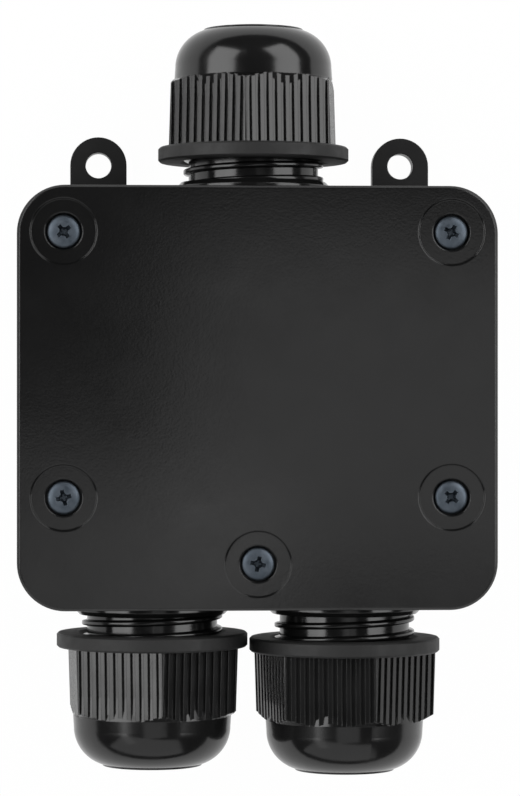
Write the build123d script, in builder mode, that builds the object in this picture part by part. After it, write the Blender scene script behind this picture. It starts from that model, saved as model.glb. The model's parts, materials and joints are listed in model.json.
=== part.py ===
from build123d import *
import math
import os

os.makedirs("parts", exist_ok=True)

# Moulded cable gland: cap nut, claw cage and the two nested seals
flange_radius = 18.35
flange_thickness = 2.8
flange_edge_break = 0.35
hex_half_width = 15.45
hex_length = 13.15
hex_draft = 1.8
hex_corner_fillet = 0.5
rib_pitch = 1.77
rib_depth = 0.55
rib_groove_width = 0.9
rib_grooves_per_face = 10
crown_slope = 30.0
dome_radius = 15.22
dome_draft = 0.15
dome_straight = 2.25
dome_arc_radius = 7.4
nut_length = 25.6
mouth_radius = 8.2
rim_width = 1.45
nut_bore_radius = 13.7
squeeze_cone_start = 18.2
squeeze_cone_radius = 12.6
squeeze_cone_end = 24.4

# Threaded spigot on the housing (the thread itself is dressed on later)
thread_pitch = 2.65
spigot_radius = 12.5
spigot_bore_radius = 10.4
spigot_length = 18.0
spigot_lead_in = 0.8
collar_radius = 14.8
collar_height = 1.7
collar_root = 1.0
throat_radius = 8.6
throat_length = 2.0

# Housing and lid
body_width = 90.0
body_height = 79.5
corner_radius = 9.0
back_thickness = 3.0
wall_thickness = 4.6
lid_thickness = 4.6
edge_break = 0.5
seam_chamfer = 0.35
floor_gap = 0.45
nut_gap = 0.4
lower_pair_offset = -0.95
gland_axis_height = flange_radius + floor_gap
gland_pitch = 2 * flange_radius + nut_gap
base_depth = gland_axis_height + collar_radius

# Lid screws and the pillars they bite into
boss_inset = 8.7
side_boss_rise = 21.15
boss_radius = 7.0
cavity_fillet = 2.5
pilot_radius = 1.55
pilot_depth = 20.0
screw_radius = 1.5
screw_length = 14.0
screw_head_radius = 3.05
screw_head_height = 1.6
screw_head_rim = 0.95
screw_hole_radius = 1.8
counterbore_radius = 3.4
counterbore_depth = 1.8
recess_radius = 6.1
recess_depth = 0.4
seat_edge_break = 0.2
cross_length = 2.7
cross_width = 0.75
cross_depth = 1.0

# Lid seal
groove_inset = 1.3
groove_width = 2.0
gasket_height = 1.8
gasket_side_clearance = 0.1
lid_pocket_inset = 1.0
lid_pocket_depth = 1.8
lid_rib_width = 1.2

# Mounting ears on the back
ear_spacing = 59.7
ear_width = 11.1
ear_reach = 6.1
ear_thickness = 4.0
ear_hole_radius = 2.53
ear_root_fillet = 0.5

# Claw cage and seals, measured from the flange face of their nut
fit_clearance = 0.07
cone_clearance = 0.3
cage_start = 2.0
cage_bore_radius = 8.9
cage_shoulder_start = 16.4
cage_shoulder_radius = 12.1
cage_finger_end = 23.9
cage_finger_thickness = 1.1
cage_slot_count = 8
cage_slot_width = 1.2
seal_start = 8.0
seal_end = 21.6
outer_seal_bore = 6.8
inner_seal_bore = 4.5
inner_seal_bead = 0.5
seal_bead_length = 1.2

# Three-pole terminal block
pole_pitch = 12.0
pole_width = 7.4
pole_count = 3
block_length = 19.0
block_standoff = 2.0
block_centre_y = 2.0
barrel_height = 9.0
web_height = 5.0
web_depth = 8.0
tower_radius = 3.6
tower_height = 13.0
tower_spacing = 10.0
tower_bore_radius = 2.5
sleeve_radius = 2.9
sleeve_bore_radius = 1.9
sleeve_length = 18.0
sleeve_axis_rise = 4.4
wire_screw_radius = 1.45
wire_screw_clearance = 0.07
wire_screw_length = 5.2
wire_screw_head_radius = 2.1
wire_screw_head_height = 1.6
wire_screw_reach = 0.7
slot_width = 0.6
slot_depth = 0.7
block_screw_radius = 1.3
block_screw_length = 7.0
block_screw_head_radius = 2.1
block_screw_head_height = 1.3
block_screw_hole_radius = 1.5
post_radius = 3.2

half_width = body_width / 2
half_height = body_height / 2
lid_top = base_depth + lid_thickness
boss_x = half_width - boss_inset
boss_y = half_height - boss_inset
side_boss_y = side_boss_rise - half_height
screw_points = [
    (-boss_x, boss_y),
    (boss_x, boss_y),
    (-boss_x, side_boss_y),
    (boss_x, side_boss_y),
    (0, -boss_y),
]
seat_height = lid_top - recess_depth - counterbore_depth


def gland(name, across, side, standoff, turn):
    """Placement of one gland: its wall plane and its nut plane, both facing outwards."""
    mouth = Vector(across, side * half_height, gland_axis_height)
    outward = Vector(0, side, 0)
    corner = Vector(0, 0, 1).rotate(Axis((0, 0, 0), outward), turn)
    wall = Plane(origin=mouth, x_dir=(0, 0, 1), z_dir=outward)
    nut = Plane(origin=mouth + outward * standoff, x_dir=corner, z_dir=outward)
    return {"name": name, "wall": wall, "nut": nut}


def profile_plane(frame):
    """Plane through the axis of a gland: local x is the radius, local y runs outwards."""
    return Plane(origin=frame.origin, x_dir=frame.x_dir, z_dir=frame.x_dir.cross(frame.z_dir))


def axis_of(frame):
    return Axis(frame.origin, frame.z_dir)


def save(piece, name):
    piece.part.label = name
    export_step(piece.part, f"parts/{name}.step")


glands = [
    gland("top", 0, 1, 5.65, -7.5),
    gland("lower_left", lower_pair_offset - gland_pitch / 2, -1, 5.2, -5.6),
    gland("lower_right", lower_pair_offset + gland_pitch / 2, -1, 6.3, -15.5),
]

# Outline of the space inside, which bends round the screw pillars
with BuildSketch() as cavity:
    Rectangle(body_width - 2 * wall_thickness, body_height - 2 * wall_thickness)
    with Locations(*screw_points):
        Circle(boss_radius, mode=Mode.SUBTRACT)
    fillet(cavity.vertices(), cavity_fillet)



def seal_band(side_clearance):
    """Closed band that follows the cavity, narrower than the groove by the clearance on each side."""
    outer_loop = offset(cavity.sketch, groove_inset + groove_width - side_clearance)
    inner_loop = offset(cavity.sketch, groove_inset + side_clearance)
    return outer_loop - inner_loop


groove_band = seal_band(0)
gasket_band = seal_band(gasket_side_clearance)
pocket_shape = offset(cavity.sketch, -lid_pocket_inset)

# Housing: tray, pillars, spigots and ears moulded in one piece
with BuildPart() as housing_base:
    with BuildSketch():
        RectangleRounded(body_width, body_height, corner_radius)
    extrude(amount=base_depth)
    with BuildSketch():
        with Locations((-ear_spacing / 2, half_height), (ear_spacing / 2, half_height)):
            Rectangle(ear_width, 2 * ear_reach)
            with Locations((0, ear_reach)):
                Circle(ear_width / 2)
    extrude(amount=ear_thickness)
    ear_roots = housing_base.edges().filter_by(Axis.Z).filter_by_position(Axis.Y, half_height - 0.1, half_height + 0.1)
    fillet(ear_roots, ear_root_fillet)
    chamfer(housing_base.faces().sort_by(Axis.Z)[0].edges(), edge_break)
    with BuildSketch(Plane.XY.offset(base_depth)):
        add(cavity.sketch)
    extrude(amount=back_thickness - base_depth, mode=Mode.SUBTRACT)
    for item in glands:
        with BuildSketch(profile_plane(item["wall"])):
            with BuildLine():
                Polyline(
                    (0, -collar_root),
                    (collar_radius, -collar_root),
                    (collar_radius, collar_height / 2),
                    (collar_radius - 0.8, collar_height),
                    (spigot_radius, collar_height),
                    (spigot_radius, spigot_length - spigot_lead_in),
                    (spigot_radius - spigot_lead_in, spigot_length),
                    (0, spigot_length),
                    close=True,
                )
            make_face()
        revolve(axis=axis_of(item["wall"]))
    for item in glands:
        with BuildSketch(item["wall"].offset(spigot_length)):
            Circle(spigot_bore_radius)
        extrude(amount=throat_length - spigot_length, mode=Mode.SUBTRACT)
        with BuildSketch(item["wall"].offset(throat_length)):
            Circle(throat_radius)
        extrude(amount=-throat_length - wall_thickness - cavity_fillet / 2, mode=Mode.SUBTRACT)
    with Locations(*[(x, y, base_depth) for x, y in screw_points]):
        Hole(pilot_radius, depth=pilot_depth)
    with Locations((-ear_spacing / 2, half_height + ear_reach), (ear_spacing / 2, half_height + ear_reach)):
        Hole(ear_hole_radius, depth=ear_thickness * 3)
    with BuildSketch(Plane.XY.offset(back_thickness - 0.5)):
        with Locations((-pole_pitch / 2, block_centre_y), (pole_pitch / 2, block_centre_y)):
            Circle(post_radius)
    extrude(amount=block_standoff + 0.5)
    with Locations(*[(x, block_centre_y, back_thickness + block_standoff) for x in (-pole_pitch / 2, pole_pitch / 2)]):
        Hole(block_screw_radius, depth=block_standoff + 1.6)

# Lid: plate with sunk screw seats, a groove for the seal and cross ribs underneath
with BuildPart() as lid:
    with BuildSketch(Plane.XY.offset(base_depth)):
        RectangleRounded(body_width, body_height, corner_radius)
    extrude(amount=lid_thickness)
    chamfer(lid.faces().sort_by(Axis.Z)[-1].edges(), edge_break)
    chamfer(lid.faces().sort_by(Axis.Z)[0].edges(), seam_chamfer)
    with BuildSketch(Plane.XY.offset(base_depth)):
        add(pocket_shape)
        Rectangle(lid_rib_width, body_height, mode=Mode.SUBTRACT)
        Rectangle(body_width, lid_rib_width, mode=Mode.SUBTRACT)
    extrude(amount=lid_pocket_depth, mode=Mode.SUBTRACT)
    with BuildSketch(Plane.XY.offset(base_depth)):
        add(groove_band)
    extrude(amount=gasket_height, mode=Mode.SUBTRACT)
    with BuildSketch(Plane.XY.offset(lid_top)):
        with Locations(*screw_points):
            Circle(recess_radius)
    extrude(amount=-recess_depth, mode=Mode.SUBTRACT)
    for height, radius in ((lid_top, recess_radius), (lid_top - recess_depth, counterbore_radius)):
        with BuildSketch(Plane.XY.offset(height)):
            with Locations(*screw_points):
                Circle(radius + seat_edge_break)
        extrude(amount=-seat_edge_break, taper=45, mode=Mode.SUBTRACT)
    with Locations(*[(x, y, lid_top - recess_depth) for x, y in screw_points]):
        CounterBoreHole(screw_hole_radius, counterbore_radius, counterbore_depth)

# Ring of sponge rubber that fills the groove and bears on the rim of the housing
with BuildPart() as lid_gasket:
    with BuildSketch(Plane.XY.offset(base_depth)):
        add(gasket_band)
    extrude(amount=gasket_height)

save(housing_base, "housing_base")
save(lid, "lid")
save(lid_gasket, "lid_gasket")

# Lid screws: domed heads with a cross recess
for number, point in enumerate(screw_points, start=1):
    with BuildPart() as lid_screw:
        with BuildSketch(Plane.XZ.offset(-point[1])):
            with BuildLine(Location((point[0], 0))):
                Polyline(
                    (0, seat_height - screw_length),
                    (screw_radius - 0.6, seat_height - screw_length),
                    (screw_radius, seat_height - screw_length + 1.2),
                    (screw_radius, seat_height),
                    (screw_head_radius, seat_height),
                    (screw_head_radius, seat_height + screw_head_rim),
                )
                ThreePointArc(
                    (screw_head_radius, seat_height + screw_head_rim),
                    (screw_head_radius * 0.6, seat_height + screw_head_height * 0.7 + screw_head_rim * 0.3),
                    (0, seat_height + screw_head_height),
                )
                Line((0, seat_height + screw_head_height), (0, seat_height - screw_length))
            make_face()
        revolve(axis=Axis((point[0], point[1], 0), (0, 0, 1)))
        with BuildSketch(Plane.XY.offset(seat_height + screw_head_height - cross_depth)):
            with Locations(point):
                Rectangle(cross_length, cross_width)
                Rectangle(cross_width, cross_length)
        extrude(amount=2 * cross_depth, mode=Mode.SUBTRACT)
    save(lid_screw, f"lid_screw_{number}")

# Cap nuts: flange, ribbed hexagon, domed crown and an inner cone that squeezes the claws
for item in glands:
    nut_plane = item["nut"]
    crown_start = flange_thickness + hex_length
    crown_drop = (hex_half_width / math.cos(math.pi / 6) + 1 - dome_radius) * math.tan(math.radians(crown_slope))
    dome_turn = crown_start + dome_straight
    arc_centre = dome_radius - dome_draft - dome_arc_radius
    rim_radius = mouth_radius + rim_width
    arc_lean = math.acos((rim_radius - arc_centre) / dome_arc_radius)
    arc_top = dome_turn + dome_arc_radius * math.sin(arc_lean)
    arc_middle = (
        arc_centre + dome_arc_radius * math.cos(arc_lean / 2),
        dome_turn + dome_arc_radius * math.sin(arc_lean / 2),
    )
    with BuildPart() as cap_nut:
        with BuildSketch(nut_plane.offset(flange_thickness)):
            RegularPolygon(hex_half_width, 6, major_radius=False)
            fillet(vertices(), hex_corner_fillet)
        extrude(amount=hex_length, taper=hex_draft)
        with BuildSketch(nut_plane.offset(flange_thickness)):
            with PolarLocations(hex_half_width, 6, start_angle=30):
                with GridLocations(0, rib_pitch, 1, rib_grooves_per_face):
                    Rectangle(3 * rib_depth, rib_groove_width)
        extrude(amount=hex_length, mode=Mode.SUBTRACT)
        with BuildSketch(nut_plane.offset(flange_thickness)):
            RegularPolygon(hex_half_width - rib_depth, 6, major_radius=False)
        extrude(amount=hex_length, taper=hex_draft)
        with BuildSketch(profile_plane(nut_plane)):
            with BuildLine():
                Polyline(
                    (dome_radius, crown_start + 1),
                    (dome_radius, crown_start),
                    (hex_half_width / math.cos(math.pi / 6) + 1, crown_start - crown_drop),
                    (hex_half_width / math.cos(math.pi / 6) + 1, crown_start + 1),
                    close=True,
                )
            make_face()
        revolve(axis=axis_of(nut_plane), mode=Mode.SUBTRACT)
        with BuildSketch(nut_plane):
            Circle(flange_radius)
        extrude(amount=flange_thickness)
        chamfer(cap_nut.edges().filter_by(GeomType.CIRCLE).sort_by(SortBy.RADIUS)[-2:], flange_edge_break)
        with BuildSketch(profile_plane(nut_plane)):
            with BuildLine():
                Polyline(
                    (0, crown_start - 2),
                    (dome_radius - 0.6, crown_start - 2),
                    (dome_radius, crown_start),
                    (dome_radius - dome_draft, dome_turn),
                )
                ThreePointArc(
                    (dome_radius - dome_draft, dome_turn),
                    arc_middle,
                    (rim_radius, arc_top),
                )
                Polyline(
                    (rim_radius, arc_top),
                    (rim_radius - 0.1, nut_length),
                    (0, nut_length),
                    (0, crown_start - 2),
                )
            make_face()
        revolve(axis=axis_of(nut_plane))
        with BuildSketch(profile_plane(nut_plane)):
            with BuildLine():
                Polyline(
                    (0, 0),
                    (nut_bore_radius + 0.7, 0),
                    (nut_bore_radius, 0.7),
                    (nut_bore_radius, crown_start - 1.2),
                    (squeeze_cone_radius, crown_start),
                    (squeeze_cone_radius, squeeze_cone_start),
                    (mouth_radius, squeeze_cone_end),
                    (mouth_radius, nut_length),
                    (0, nut_length),
                    close=True,
                )
            make_face()
        revolve(axis=axis_of(nut_plane), mode=Mode.SUBTRACT)
    save(cap_nut, f"cap_nut_{item['name']}")

# Claw cages: a sleeve sliding in the spigot, a shoulder and springy fingers under the cone
cone_fall = (squeeze_cone_radius - mouth_radius) / (squeeze_cone_end - squeeze_cone_start)
cone_shift = cone_clearance * math.sqrt(1 + cone_fall**2)


def finger_radius(height):
    """Outer radius of the fingers, just clear of the cone inside the nut."""
    return squeeze_cone_radius - cone_shift - cone_fall * (height - squeeze_cone_start)


for item in glands:
    with BuildPart() as clamp_cage:
        with BuildSketch(profile_plane(item["nut"])):
            with BuildLine():
                Polyline(
                    (cage_bore_radius, cage_start),
                    (spigot_bore_radius - fit_clearance, cage_start),
                    (spigot_bore_radius - fit_clearance, cage_shoulder_start),
                    (cage_shoulder_radius, cage_shoulder_start),
                    (cage_shoulder_radius, squeeze_cone_start),
                    (finger_radius(squeeze_cone_start + 0.3), squeeze_cone_start + 0.3),
                    (finger_radius(cage_finger_end), cage_finger_end),
                    (finger_radius(cage_finger_end) - cage_finger_thickness, cage_finger_end),
                    (cage_bore_radius, cage_finger_end - 2.5),
                    close=True,
                )
            make_face()
        revolve(axis=axis_of(item["nut"]))
        with BuildSketch(item["nut"].offset(squeeze_cone_start - 0.4)):
            with PolarLocations(cage_shoulder_radius - 2, cage_slot_count):
                Rectangle(8, cage_slot_width)
        extrude(amount=cage_finger_end, mode=Mode.SUBTRACT)
    save(clamp_cage, f"clamp_cage_{item['name']}")

# Nested rubber seals: the outer one alone takes thick cable, both together take thin cable
for item in glands:
    with BuildPart() as outer_seal:
        with BuildSketch(item["nut"].offset(seal_start)):
            Circle(cage_bore_radius)
            Circle(outer_seal_bore, mode=Mode.SUBTRACT)
        extrude(amount=cage_finger_end - 2.5 - seal_start)
    save(outer_seal, f"outer_seal_{item['name']}")
    with BuildPart() as inner_seal:
        with BuildSketch(profile_plane(item["nut"])):
            with BuildLine():
                Polyline(
                    (inner_seal_bore, seal_start - seal_bead_length),
                    (outer_seal_bore + inner_seal_bead, seal_start - seal_bead_length),
                    (outer_seal_bore + inner_seal_bead, seal_start),
                    (outer_seal_bore, seal_start),
                    (outer_seal_bore, seal_end - 0.8),
                    (outer_seal_bore - 0.8, seal_end),
                    (inner_seal_bore, seal_end),
                    close=True,
                )
            make_face()
        revolve(axis=axis_of(item["nut"]))
    save(inner_seal, f"inner_seal_{item['name']}")

# Terminal block: three barrels joined by webs, with two screw towers on each barrel
block_floor = back_thickness + block_standoff
sleeve_axis = block_floor + sleeve_axis_rise
pole_places = [(index - (pole_count - 1) / 2) * pole_pitch for index in range(pole_count)]
tower_places = [(x, block_centre_y + end * tower_spacing / 2) for x in pole_places for end in (-1, 1)]
web_places = [(-pole_pitch / 2, block_centre_y), (pole_pitch / 2, block_centre_y)]

with BuildPart() as terminal_block:
    with BuildSketch(Plane.XZ.offset(-block_centre_y)):
        for x in pole_places:
            with Locations((x, block_floor + barrel_height / 2)):
                Rectangle(pole_width, barrel_height)
        fillet(vertices().group_by(Axis.Z)[-1], 2.5)
    extrude(amount=block_length / 2, both=True)
    with BuildSketch(Plane.XY.offset(block_floor)):
        with Locations((0, block_centre_y)):
            Rectangle(pole_pitch * (pole_count - 1), web_depth)
    extrude(amount=web_height)
    with BuildSketch(Plane.XY.offset(block_floor)):
        with Locations(*tower_places):
            Circle(tower_radius)
    extrude(amount=tower_height)
    with BuildSketch(Plane.XZ.offset(-block_centre_y)):
        with Locations(*[(x, sleeve_axis) for x in pole_places]):
            Circle(sleeve_radius)
    extrude(amount=block_length / 2, both=True, mode=Mode.SUBTRACT)
    with BuildSketch(Plane.XY.offset(block_floor + tower_height)):
        with Locations(*tower_places):
            Circle(tower_bore_radius)
    extrude(amount=sleeve_axis - block_floor - tower_height, mode=Mode.SUBTRACT)
    with Locations(*[(x, y, block_floor + web_height) for x, y in web_places]):
        Hole(block_screw_hole_radius, depth=web_height)
save(terminal_block, "terminal_block")

for number, x in enumerate(pole_places, start=1):
    with BuildPart() as terminal_sleeve:
        with BuildSketch(Plane.XZ.offset(-block_centre_y)):
            with Locations((x, sleeve_axis)):
                Circle(sleeve_radius)
                Circle(sleeve_bore_radius, mode=Mode.SUBTRACT)
        extrude(amount=sleeve_length / 2, both=True)
        with BuildSketch(Plane.XY.offset(sleeve_axis)):
            with Locations(*[place for place in tower_places if place[0] == x]):
                Circle(wire_screw_radius + wire_screw_clearance)
        extrude(amount=sleeve_radius + 1, mode=Mode.SUBTRACT)
    save(terminal_sleeve, f"terminal_sleeve_{number}")

# Clamping screws of the terminals: slotted cheese heads
for number, point in enumerate(tower_places, start=1):
    tip = sleeve_axis + wire_screw_reach
    with BuildPart() as terminal_screw:
        with BuildSketch(Plane.XY.offset(tip)):
            with Locations(point):
                Circle(wire_screw_radius)
        extrude(amount=wire_screw_length)
        with BuildSketch(Plane.XY.offset(tip + wire_screw_length)):
            with Locations(point):
                Circle(wire_screw_head_radius)
        extrude(amount=wire_screw_head_height)
        with BuildSketch(Plane.XY.offset(tip + wire_screw_length + wire_screw_head_height)):
            with Locations(point):
                Rectangle(3 * wire_screw_head_radius, slot_width)
        extrude(amount=-slot_depth, mode=Mode.SUBTRACT)
    save(terminal_screw, f"terminal_screw_{number}")

# Screws that hold the block on its posts
for number, point in enumerate(web_places, start=1):
    web_top = block_floor + web_height
    with BuildPart() as block_screw:
        with BuildSketch(Plane.XY.offset(web_top - block_screw_length)):
            with Locations(point):
                Circle(block_screw_radius)
        extrude(amount=block_screw_length)
        with BuildSketch(Plane.XY.offset(web_top)):
            with Locations(point):
                Circle(block_screw_head_radius)
        extrude(amount=block_screw_head_height)
        with BuildSketch(Plane.XY.offset(web_top + block_screw_head_height)):
            with Locations(point):
                Rectangle(cross_length, cross_width)
                Rectangle(cross_width, cross_length)
        extrude(amount=-slot_depth, mode=Mode.SUBTRACT)
    save(block_screw, f"block_screw_{number}")
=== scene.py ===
import bpy
import json
import math
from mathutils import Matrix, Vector


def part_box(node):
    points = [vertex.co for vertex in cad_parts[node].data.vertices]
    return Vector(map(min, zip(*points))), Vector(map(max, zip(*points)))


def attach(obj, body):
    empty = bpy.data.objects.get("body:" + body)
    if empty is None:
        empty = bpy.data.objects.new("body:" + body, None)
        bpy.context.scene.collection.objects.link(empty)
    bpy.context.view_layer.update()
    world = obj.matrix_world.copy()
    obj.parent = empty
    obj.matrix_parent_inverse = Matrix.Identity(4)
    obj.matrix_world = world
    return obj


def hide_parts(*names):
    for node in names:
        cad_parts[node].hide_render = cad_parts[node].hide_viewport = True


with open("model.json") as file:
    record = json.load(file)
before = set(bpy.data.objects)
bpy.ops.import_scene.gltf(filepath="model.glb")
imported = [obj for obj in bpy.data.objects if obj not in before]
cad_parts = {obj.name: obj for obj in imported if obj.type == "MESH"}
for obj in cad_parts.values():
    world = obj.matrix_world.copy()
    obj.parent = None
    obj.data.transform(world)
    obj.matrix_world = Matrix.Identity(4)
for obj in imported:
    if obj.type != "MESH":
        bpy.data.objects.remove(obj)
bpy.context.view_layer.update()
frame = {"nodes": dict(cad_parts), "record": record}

lidLow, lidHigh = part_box("lid")
lidTop = lidHigh[2]
joints = {joint["name"]: joint for joint in frame["record"]["behaviour"]["joints"]}
print("frame loaded, lid top at", round(lidTop, 4))


def deselectAll():
    bpy.ops.object.select_all(action="DESELECT")


def pick(piece):
    deselectAll()
    piece.select_set(True)
    bpy.context.view_layer.objects.active = piece


def settle(piece):
    pick(piece)
    bpy.ops.object.transform_apply(location=True, rotation=True, scale=True)


def applyModifiers(piece):
    pick(piece)
    for modifier in list(piece.modifiers):
        bpy.ops.object.modifier_apply(modifier=modifier.name)


def choose(piece, mode, wanted):
    # goes into edit mode with the wanted corners or faces selected
    bpy.ops.object.mode_set(mode="EDIT")
    bpy.ops.mesh.select_mode(type=mode)
    bpy.ops.mesh.select_all(action="DESELECT")
    bpy.ops.object.mode_set(mode="OBJECT")
    items = piece.data.vertices if mode == "VERT" else piece.data.polygons
    for item in items:
        item.select = wanted(item)
    bpy.ops.object.mode_set(mode="EDIT")


def grey(value):
    return (value, value, value, 1.0)


class Flow:
    # a node's output that can be used in plain sums
    def __init__(self, finish, output):
        self.finish = finish
        self.output = output

    def sum(self, operation, first, second):
        return self.finish.node("ShaderNodeMath", {"operation": operation}, {0: first, 1: second})

    def __add__(self, other):
        return self.sum("ADD", self, other)

    def __radd__(self, other):
        return self.sum("ADD", other, self)

    def __sub__(self, other):
        return self.sum("SUBTRACT", self, other)

    def __rsub__(self, other):
        return self.sum("SUBTRACT", other, self)

    def __mul__(self, other):
        return self.sum("MULTIPLY", self, other)

    def __rmul__(self, other):
        return self.sum("MULTIPLY", other, self)

    def __abs__(self):
        return self.finish.node("ShaderNodeMath", {"operation": "ABSOLUTE"}, {0: self})


class Finish:
    # a material whose nodes all come from node()
    def __init__(self, name, metallic=0.0):
        self.material = bpy.data.materials.new(name)
        self.material.use_nodes = True
        self.tree = self.material.node_tree
        self.shader = self.tree.nodes["Principled BSDF"]
        self.shader.inputs["Metallic"].default_value = metallic
        self.place = self.node("ShaderNodeTexCoord", {}, {}, "Object")

    def node(self, kind, settings, inputs, output=0):
        made = self.tree.nodes.new(kind)
        for key, value in settings.items():
            setattr(made, key, value)
        for key, value in inputs.items():
            if isinstance(value, Flow):
                self.tree.links.new(value.output, made.inputs[key])
            else:
                made.inputs[key].default_value = value
        return Flow(self, made.outputs[output])

    def feed(self, name, flow):
        self.tree.links.new(flow.output, self.shader.inputs[name])

    def along(self, axis):
        return self.node("ShaderNodeSeparateXYZ", {}, {0: self.place}, axis)

    def noise(self, scale, detail=2.0, rough=0.5):
        inputs = {"Vector": self.place, "Scale": scale, "Detail": detail, "Roughness": rough}
        return self.node("ShaderNodeTexNoise", {}, inputs)

    def cells(self, scale):
        return self.node("ShaderNodeTexVoronoi", {}, {"Vector": self.place, "Scale": scale})

    def blend(self, amount, first, second):
        return self.node("ShaderNodeMix", {"data_type": "RGBA"}, {0: amount, 6: first, 7: second}, 2)

    def ramp(self, flow, fromLow, fromHigh, low, high):
        return self.node("ShaderNodeMapRange", {}, {0: flow, 1: fromLow, 2: fromHigh, 3: low, 4: high})

    def spread(self, flow, low, high):
        # noise lies mostly between 0.3 and 0.7
        return self.ramp(flow, 0.3, 0.7, low, high)

    def tint(self, cloud, dark, pale):
        self.feed("Base Color", self.blend(self.spread(cloud, 0, 1), dark, pale))

    def grain(self, height, strength, edge, depth=0.00002):
        # metres: edge is the radius to which sharp edges look rounded, depth the height of the bumps
        rounded = self.node("ShaderNodeBevel", {"samples": 6}, {"Radius": edge})
        inputs = {"Strength": strength, "Distance": depth, "Height": height, "Normal": rounded}
        self.feed("Normal", self.node("ShaderNodeBump", {}, inputs))


def makeLidNylon():
    look = {
        "dark": 0.0046, "pale": 0.0062, "patches": (45, 3),
        "smooth": 0.11, "rough": 0.16, "cloud": (130, 4), "cloudShare": 0.7,
        "fine": (2400, 2), "coarse": (850, 2), "coarseShare": 0.6, "bump": 0.3, "edge": 0.0003,
    }
    finish = Finish("lidNylon")
    fine = finish.noise(*look["fine"])
    finish.tint(finish.noise(*look["patches"]), grey(look["dark"]), grey(look["pale"]))
    cloud = finish.noise(*look["cloud"]) * look["cloudShare"] + fine * (1 - look["cloudShare"])
    finish.feed("Roughness", finish.spread(cloud, look["smooth"], look["rough"]))
    finish.grain(fine + finish.noise(*look["coarse"]) * look["coarseShare"], look["bump"], look["edge"])
    return finish.material


def makeHousingNylon():
    # the tray and its ears are satin, the spigots beyond its walls are polished
    look = {
        "dark": 0.0055, "pale": 0.0075, "patches": (60, 3), "earTop": 0.0045, "fade": 0.0003,
        "satin": (0.34, 0.42), "satinCloud": (130, 4), "polished": (0.11, 0.19), "polishedCloud": (260, 4),
        "fine": (2400, 2), "coarse": (900, 2), "coarseShare": 0.4, "polishedAway": 0.6,
        "bump": 0.25, "edge": 0.0003,
    }
    finish = Finish("housingNylon")
    fine = finish.noise(*look["fine"])
    wall, earTop = lidHigh[1], look["earTop"]
    beyondWall = finish.ramp(abs(finish.along("Y")), wall, wall + look["fade"], 0, 1)
    aboveEars = finish.ramp(finish.along("Z"), earTop, earTop + look["fade"], 0, 1)
    spigot = beyondWall * aboveEars
    finish.tint(finish.noise(*look["patches"]), grey(look["dark"]), grey(look["pale"]))
    satin = finish.spread(finish.noise(*look["satinCloud"]), *look["satin"])
    polished = finish.spread(finish.noise(*look["polishedCloud"]), *look["polished"])
    finish.feed("Roughness", satin * (1 - spigot) + polished * spigot)
    fineShare = 1 - spigot * look["polishedAway"]
    height = fine * fineShare + finish.noise(*look["coarse"]) * look["coarseShare"]
    finish.grain(height, look["bump"], look["edge"])
    return finish.material


def makeCapNylon(name, nodeName):
    # polished nut whose flange has a dull, slightly scuffed rim
    look = {
        "dark": 0.0055, "pale": 0.0085, "patches": (60, 2),
        "smooth": 0.13, "rough": 0.20, "cloud": (160, 4), "dull": (0.52, 0.68),
        "rimWidth": 0.0027, "fade": 0.0002, "scuffs": (420, 5, 0.6), "scuffDepth": 1.5,
        "fine": (700, 3), "bump": 0.16, "edge": 0.00016,
    }
    finish = Finish(name)
    low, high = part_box(nodeName)
    rimEnd = min(abs(low[1]), abs(high[1])) + look["rimWidth"]
    rim = finish.ramp(abs(finish.along("Y")), rimEnd, rimEnd + look["fade"], 1, 0)
    scuffs = finish.noise(*look["scuffs"])
    finish.tint(finish.noise(*look["patches"]), grey(look["dark"]), grey(look["pale"]))
    polished = finish.spread(finish.noise(*look["cloud"]), look["smooth"], look["rough"])
    dull = finish.spread(scuffs, *look["dull"])
    finish.feed("Roughness", polished * (1 - rim) + dull * rim)
    height = finish.noise(*look["fine"]) + scuffs * rim * look["scuffDepth"]
    finish.grain(height, look["bump"], look["edge"])
    return finish.material


def makeSpongeRubber():
    # closed-cell sponge with open pores on its skin; the pores are bumped in as dips and painted darker,
    # which is painted shade in the dips
    look = {
        # dark is the painted shade inside the pores, pale the sponge skin
        "dark": 0.008, "pale": 0.03, "cells": 1500, "poreEdge": (0.15, 0.5),
        "smooth": 0.8, "rough": 0.95, "cloud": (500, 3),
        "coarse": (700, 2), "coarseShare": 0.4, "bump": 0.6, "edge": 0.0002, "depth": 0.00008,
    }
    finish = Finish("spongeRubber")
    poreDipsAndShade = finish.ramp(finish.cells(look["cells"]), *look["poreEdge"], 0, 1)
    # the pores take the dark colour: painted shade in the pore dips
    finish.feed("Base Color", finish.blend(poreDipsAndShade, grey(look["dark"]), grey(look["pale"])))
    finish.feed("Roughness", finish.spread(finish.noise(*look["cloud"]), look["smooth"], look["rough"]))
    height = poreDipsAndShade + finish.noise(*look["coarse"]) * look["coarseShare"]
    finish.grain(height, look["bump"], look["edge"], look["depth"])
    return finish.material


def makePlainFinish(name, look, metallic=0.0):
    # one colour in faint patches, with a fine grain all over
    finish = Finish(name, metallic)
    finish.tint(finish.noise(*look["patches"]), look["dark"], look["pale"])
    finish.feed("Roughness", finish.spread(finish.noise(*look["cloud"]), look["smooth"], look["rough"]))
    finish.grain(finish.noise(*look["fine"]), look["bump"], look["edge"], look["depth"])
    return finish.material


def makeMetal(name, dark, pale, smooth, rough, grainScale):
    look = {
        "dark": dark, "pale": pale, "patches": (700, 4),
        "smooth": smooth, "rough": rough, "cloud": (1400, 3),
        "fine": (grainScale, 3), "bump": 0.25, "edge": 0.00012, "depth": 0.00002,
    }
    return makePlainFinish(name, look, metallic=1.0)


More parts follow.
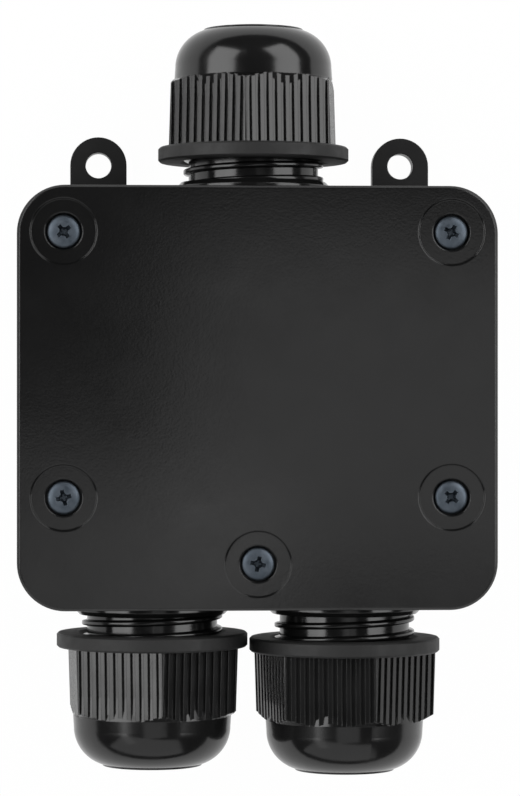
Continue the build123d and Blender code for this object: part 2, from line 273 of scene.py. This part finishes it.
threadNylon = {
    "dark": grey(0.0045), "pale": grey(0.0065), "patches": (60, 2),
    "smooth": 0.13, "rough": 0.2, "cloud": (160, 4),
    "fine": (700, 3), "bump": 0.12, "edge": 0.00012, "depth": 0.00002,
}
clawNylon = {
    "dark": grey(0.01), "pale": grey(0.016), "patches": (90, 2),
    "smooth": 0.3, "rough": 0.42, "cloud": (300, 3),
    "fine": (1500, 2), "bump": 0.2, "edge": 0.0001, "depth": 0.00002,
}
whiteNylon = {
    "dark": (0.62, 0.61, 0.56, 1), "pale": (0.7, 0.69, 0.65, 1), "patches": (110, 3),
    "smooth": 0.32, "rough": 0.46, "cloud": (400, 3),
    "fine": (1800, 2), "bump": 0.2, "edge": 0.00015, "depth": 0.00002,
}
blackRubber = {
    "dark": grey(0.012), "pale": grey(0.024), "patches": (240, 4),
    "smooth": 0.65, "rough": 0.85, "cloud": (500, 3),
    "fine": (2200, 3), "bump": 0.4, "edge": 0.0001, "depth": 0.00003,
}
finishes = {
    "black_nylon": makeHousingNylon(),
    "gloss_nylon": makePlainFinish("threadNylon", threadNylon),
    "claw_nylon": makePlainFinish("clawNylon", clawNylon),
    "white_nylon": makePlainFinish("whiteNylon", whiteNylon),
    "black_rubber": makePlainFinish("blackRubber", blackRubber),
    "blue_zinc_steel": makeMetal(
        "blueZincSteel", (0.075, 0.092, 0.112, 1), (0.115, 0.135, 0.16, 1), 0.42, 0.55, 1600),
    "zinc_steel": makeMetal("zincSteel", (0.45, 0.46, 0.47, 1), (0.6, 0.6, 0.6, 1), 0.25, 0.42, 1900),
    "brass": makeMetal("turnedBrass", (0.55, 0.4, 0.17, 1), (0.68, 0.5, 0.24, 1), 0.22, 0.38, 2100),
}
ownFinishes = {
    "lid": makeLidNylon(),
    "lid_gasket": makeSpongeRubber(),
    "cap_nut_top": makeCapNylon("topCapNylon", "cap_nut_top"),
    "cap_nut_lower_left": makeCapNylon("lowerLeftCapNylon", "cap_nut_lower_left"),
    "cap_nut_lower_right": makeCapNylon("lowerRightCapNylon", "cap_nut_lower_right"),
}


def dress(piece, finish):
    if not piece.material_slots:
        piece.data.materials.append(None)
    for slot in piece.material_slots:
        slot.material = finish


for entry in frame["record"]["subparts"]:
    nodeName = entry["node"]
    dress(frame["nodes"][nodeName], ownFinishes.get(nodeName, finishes[entry["material_slot"]]))
print("finishes on", len(frame["nodes"]), "nodes")


def makeCoil(name, thread, side=1):
    # a ridge of trapezoid section wound right-handed along Y, closed at both ends
    middle = (thread["root"] + thread["crest"]) / 2
    deselectAll()
    bpy.ops.mesh.primitive_plane_add(size=1, location=(0, 0, 0), rotation=(0, math.pi / 2, 0))
    ridge = bpy.context.object
    ridge.name = name
    bpy.ops.object.transform_apply(rotation=True)
    bpy.ops.object.mode_set(mode="EDIT")
    bpy.ops.mesh.select_all(action="SELECT")
    bpy.ops.transform.resize(value=(1, thread["base"], thread["crest"] - thread["root"]))
    bpy.ops.transform.translate(value=(0, 0, middle))
    bpy.ops.object.mode_set(mode="OBJECT")
    choose(ridge, "VERT", lambda corner: corner.co.z > middle)
    bpy.ops.transform.resize(value=(1, thread["tip"] / thread["base"], 1))
    bpy.ops.mesh.bevel(offset=thread["soften"], segments=2, affect="VERTICES")
    bpy.ops.mesh.select_all(action="SELECT")
    bpy.ops.mesh.delete(type="ONLY_FACE")
    bpy.ops.object.mode_set(mode="OBJECT")
    coil = ridge.modifiers.new("coil", "SCREW")
    coil.axis = "Y"
    coil.angle = 2 * math.pi * side
    coil.screw_offset = thread["pitch"] * side
    coil.iterations = thread["turns"]
    coil.steps = thread["steps"]
    coil.render_steps = thread["steps"]
    coil.use_merge_vertices = True
    applyModifiers(ridge)
    bpy.ops.object.mode_set(mode="EDIT")
    bpy.ops.mesh.select_all(action="DESELECT")
    bpy.ops.mesh.select_non_manifold()
    bpy.ops.mesh.edge_face_add()
    bpy.ops.mesh.select_all(action="SELECT")
    bpy.ops.mesh.normals_make_consistent(inside=False)
    bpy.ops.object.mode_set(mode="OBJECT")
    bpy.ops.object.shade_smooth_by_angle(angle=math.radians(40))
    return ridge


spigotThread = {
    "root": 0.01245, "crest": 0.0135, "base": 0.00135, "tip": 0.00075, "soften": 0.00016,
    "pitch": 0.00265, "turns": 6, "steps": 72,
}
# metres from the wall to the first turn of each thread
spigotStarts = {"top": 0.00173, "lower_left": 0.0027, "lower_right": 0.0033}


def makeSpigotThread(spigot, start):
    joint = joints[f"nut_{spigot}_turn"]
    centre = Vector(joint["pos_m"])
    side = 1 if joint["axis"][1] > 0 else -1
    wall = lidHigh[1] if side > 0 else lidLow[1]
    ridge = makeCoil(f"spigot_thread_{spigot}", spigotThread, side)
    ridge.location = (centre.x, wall + side * (start - spigotThread["pitch"]), centre.z)
    settle(ridge)
    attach(ridge, "housing")
    dress(ridge, finishes["gloss_nylon"])
    print(ridge.name, len(ridge.data.polygons), "faces")


for spigot, start in spigotStarts.items():
    makeSpigotThread(spigot, start)


# rings: each ring's width and its share of the dome's rise
lidScrew = {
    "fullness": 1.05, "headHeight": 0.0016, "rimHeight": 0.00085, "sides": 64,
    "rings": ((0.99, 0.12), (0.94, 0.25), (0.82, 0.27), (0.6, 0.22), (0.3, 0.14)),
    "neck": 0.0012, "tipLength": 0.0012, "tipRadius": 0.0004,
}
screwRecess = {
    "length": 0.0030, "width": 0.00078, "depth": 0.0015, "taper": 0.42, "narrowing": 0.6,
    "core": 0.00085, "point": 0.0002, "coreSides": 24, "proud": 0.00001,
}
screwThread = {
    "root": 0.0011, "crest": 0.00149, "base": 0.0005, "tip": 0.00012, "soften": 0.00003,
    "pitch": 0.0013, "turns": 8, "steps": 40,
}
screwTurns = (38, 62, 14, 50, 78)  # degrees, each screw stopped where it was tight


def makeScrewBlank(name, radius, rise, shank):
    # head with its rim and dome above the seat at Z 0, plain shank with a point below it
    deselectAll()
    bpy.ops.mesh.primitive_circle_add(vertices=lidScrew["sides"], radius=radius, fill_type="NGON")
    blank = bpy.context.object
    blank.name = name
    bpy.ops.object.mode_set(mode="EDIT")
    bpy.ops.mesh.select_all(action="SELECT")
    height, width = lidScrew["rimHeight"], 1.0
    bpy.ops.mesh.extrude_region_move(TRANSFORM_OT_translate={"value": (0, 0, height)})
    for ringWidth, share in lidScrew["rings"]:
        height += rise * share
        bpy.ops.mesh.extrude_region_move(TRANSFORM_OT_translate={"value": (0, 0, rise * share)})
        scale = ringWidth / width
        bpy.ops.transform.resize(value=(scale, scale, 1), center_override=(0, 0, height))
        width = ringWidth
    bpy.ops.object.mode_set(mode="OBJECT")
    choose(blank, "FACE", lambda face: face.center.z < 1e-6)  # the underside of the head
    bpy.ops.mesh.inset(thickness=radius - lidScrew["neck"], use_even_offset=False)
    tipLength = lidScrew["tipLength"]
    bpy.ops.mesh.extrude_region_move(TRANSFORM_OT_translate={"value": (0, 0, tipLength - shank)})
    bpy.ops.mesh.extrude_region_move(TRANSFORM_OT_translate={"value": (0, 0, -tipLength)})
    scale = lidScrew["tipRadius"] / lidScrew["neck"]
    bpy.ops.transform.resize(value=(scale, scale, 1), center_override=(0, 0, -shank))
    bpy.ops.mesh.select_all(action="SELECT")
    bpy.ops.mesh.normals_make_consistent(inside=False)
    bpy.ops.object.mode_set(mode="OBJECT")
    return blank


def makeRecessCutters():
    # a pointed core and two crossed wings that narrow downwards, as a cross driver needs
    deselectAll()
    depth = screwRecess["depth"]
    bpy.ops.mesh.primitive_cone_add(
        vertices=screwRecess["coreSides"], depth=depth,
        radius1=screwRecess["point"], radius2=screwRecess["core"])
    cutters = [bpy.context.object]
    for turn in (0, math.pi / 2):
        size = (screwRecess["length"], screwRecess["width"], depth)
        bpy.ops.mesh.primitive_cube_add(size=1, scale=size)
        wing = bpy.context.object
        bpy.ops.object.transform_apply(scale=True)
        choose(wing, "VERT", lambda corner: corner.co.z < 0)
        bpy.ops.transform.resize(value=(screwRecess["taper"], screwRecess["narrowing"], 1))
        bpy.ops.object.mode_set(mode="OBJECT")
        wing.rotation_euler = (0, 0, turn)
        bpy.ops.object.transform_apply(rotation=True)
        cutters.append(wing)
    return cutters


def cutRecess(blank, headTop):
    for cutter in makeRecessCutters():
        cutter.location.z = headTop - screwRecess["depth"] / 2 + screwRecess["proud"]
        cut = blank.modifiers.new("recess", "BOOLEAN")
        cut.object = cutter
        cut.solver = "EXACT"
        applyModifiers(blank)
        bpy.data.objects.remove(cutter)
    pick(blank)
    bpy.ops.object.shade_smooth_by_angle(angle=math.radians(35))


def addScrewThread(blank, name, shank):
    ridge = makeCoil(name, screwThread)
    ridge.rotation_euler = (math.pi / 2, 0, 0)
    ridge.location = (0, 0, lidScrew["tipLength"] - shank)
    settle(ridge)
    pick(blank)
    ridge.select_set(True)
    bpy.ops.object.join()


def makeScrew(number, turn):
    # pan head screw for plastic, modelled upright round its own axis and then put in its place
    nodeName = f"lid_screw_{number}"
    low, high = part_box(nodeName)
    seat = high[2] - lidScrew["headHeight"]
    shank = seat - low[2]
    radius = (high[0] - low[0]) / 2 * lidScrew["fullness"]
    screw = makeScrewBlank(f"zinc_screw_{number}", radius, high[2] - seat - lidScrew["rimHeight"], shank)
    cutRecess(screw, high[2] - seat)
    addScrewThread(screw, f"screw_ridge_{number}", shank)
    screw.rotation_euler = (0, 0, math.radians(turn))
    screw.location = ((low[0] + high[0]) / 2, (low[1] + high[1]) / 2, seat)
    settle(screw)
    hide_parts(nodeName)
    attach(screw, f"screw_{number}")
    dress(screw, finishes["blue_zinc_steel"])
    print(screw.name, len(screw.data.polygons), "faces")


for number, turn in enumerate(screwTurns, start=1):
    makeScrew(number, turn)


def makeFloor():
    # white to the camera, paper that takes shadows to everything else
    paper = {
        "size": 6, "below": 0.0002, "colour": 0.9, "speckColour": 0.92, "specks": (35, 3),
        "seenWhite": 0.985, "mirroredWhite": 0.75,
    }
    deselectAll()
    bpy.ops.mesh.primitive_plane_add(size=paper["size"], location=(0, 0, -paper["below"]))
    floor = bpy.context.object
    floor.name = "studio_floor"
    finish = Finish("studioPaper")
    speck = finish.spread(finish.noise(*paper["specks"]), 0, 1)
    shade = finish.blend(speck, grey(paper["colour"]), grey(paper["speckColour"]))
    seen = finish.node("ShaderNodeLightPath", {}, {}, "Is Camera Ray")
    mirrored = finish.node("ShaderNodeLightPath", {}, {}, "Is Glossy Ray")
    through = finish.node("ShaderNodeLightPath", {}, {}, "Is Transmission Ray")
    share = seen * paper["seenWhite"] + (mirrored + through) * paper["mirroredWhite"]
    flat = finish.node("ShaderNodeBsdfDiffuse", {}, {"Color": shade})
    glow = finish.node("ShaderNodeEmission", {}, {"Strength": 1.0})
    mixed = finish.node("ShaderNodeMixShader", {}, {0: share, 1: flat, 2: glow})
    surface = finish.tree.nodes["Material Output"].inputs["Surface"]
    finish.tree.links.new(mixed.output, surface)
    finish.tree.nodes.remove(finish.shader)
    dress(floor, finish.material)


studio = {"lampDistance": 0.95, "aimHeight": 0.02, "world": (0.05, 0.05, 0.052, 1)}
# degrees: lean from upright towards +X, forward towards +Y, across and along as half angles
lamps = {
    "leftSoftbox": {"lean": -52, "forward": 16, "across": 28, "along": 20, "radiance": 3.5},
    "rightSoftbox": {"lean": 48, "forward": 20, "across": 32, "along": 18, "radiance": 3.3},
    "lowLeftStrip": {"lean": -42, "forward": -12, "across": 25, "along": 7, "radiance": 0.4},
    "centreStrip": {"lean": 2, "forward": -15, "across": 16, "along": 7, "radiance": 0.6},
    "overheadPanel": {"lean": 8.4, "forward": -0.2, "across": 5.2, "along": 8.2, "radiance": 0.75},
    "lowerPanel": {"lean": -1.4, "forward": -5, "across": 4.6, "along": 3, "radiance": 0.72},
    "frontPanel": {"lean": -12, "forward": -50, "across": 42, "along": 27, "radiance": 0.72},
}


def makeLamp(name, lamp):
    lean, forward = math.radians(lamp["lean"]), math.radians(lamp["forward"])
    level = math.cos(forward)
    spot = Vector((math.sin(lean) * level, math.sin(forward), math.cos(lean) * level))
    width = 2 * studio["lampDistance"] * math.tan(math.radians(lamp["across"]))
    length = 2 * studio["lampDistance"] * math.tan(math.radians(lamp["along"]))
    light = bpy.data.lights.new(name, "AREA")
    light.shape = "RECTANGLE"
    light.size = width
    light.size_y = length
    light.energy = lamp["radiance"] * math.pi * width * length
    holder = bpy.data.objects.new(name, light)
    bpy.context.collection.objects.link(holder)
    holder.location = spot * studio["lampDistance"] + Vector((0, 0, studio["aimHeight"]))
    holder.rotation_euler = spot.to_track_quat("Z", "Y").to_euler()


def makeCamera():
    view = {
        "across": -0.0294, "height": 0.6212, "aimAcross": 0.0003,
        "lens": 141.4, "sensor": 36, "nearest": 0.01,
    }
    lens = bpy.data.cameras.new("camera")
    lens.lens = view["lens"]
    lens.sensor_width = view["sensor"]
    lens.clip_start = view["nearest"]
    camera = bpy.data.objects.new("camera", lens)
    bpy.context.collection.objects.link(camera)
    camera.location = (view["across"], (lidLow[1] + lidHigh[1]) / 2, view["height"])
    sideways = math.atan2(view["aimAcross"] - view["across"], view["height"] - lidTop)
    camera.rotation_euler = (0, -sideways, 0)
    bpy.context.scene.camera = camera


makeFloor()
for lampName, lamp in lamps.items():
    makeLamp(lampName, lamp)
makeCamera()

world = bpy.context.scene.world or bpy.data.worlds.new("studio")
bpy.context.scene.world = world
world.use_nodes = True
world.node_tree.nodes["Background"].inputs["Color"].default_value = studio["world"]
bpy.context.scene.view_settings.view_transform = "Standard"
print("studio ready with", len(lamps), "lamps")
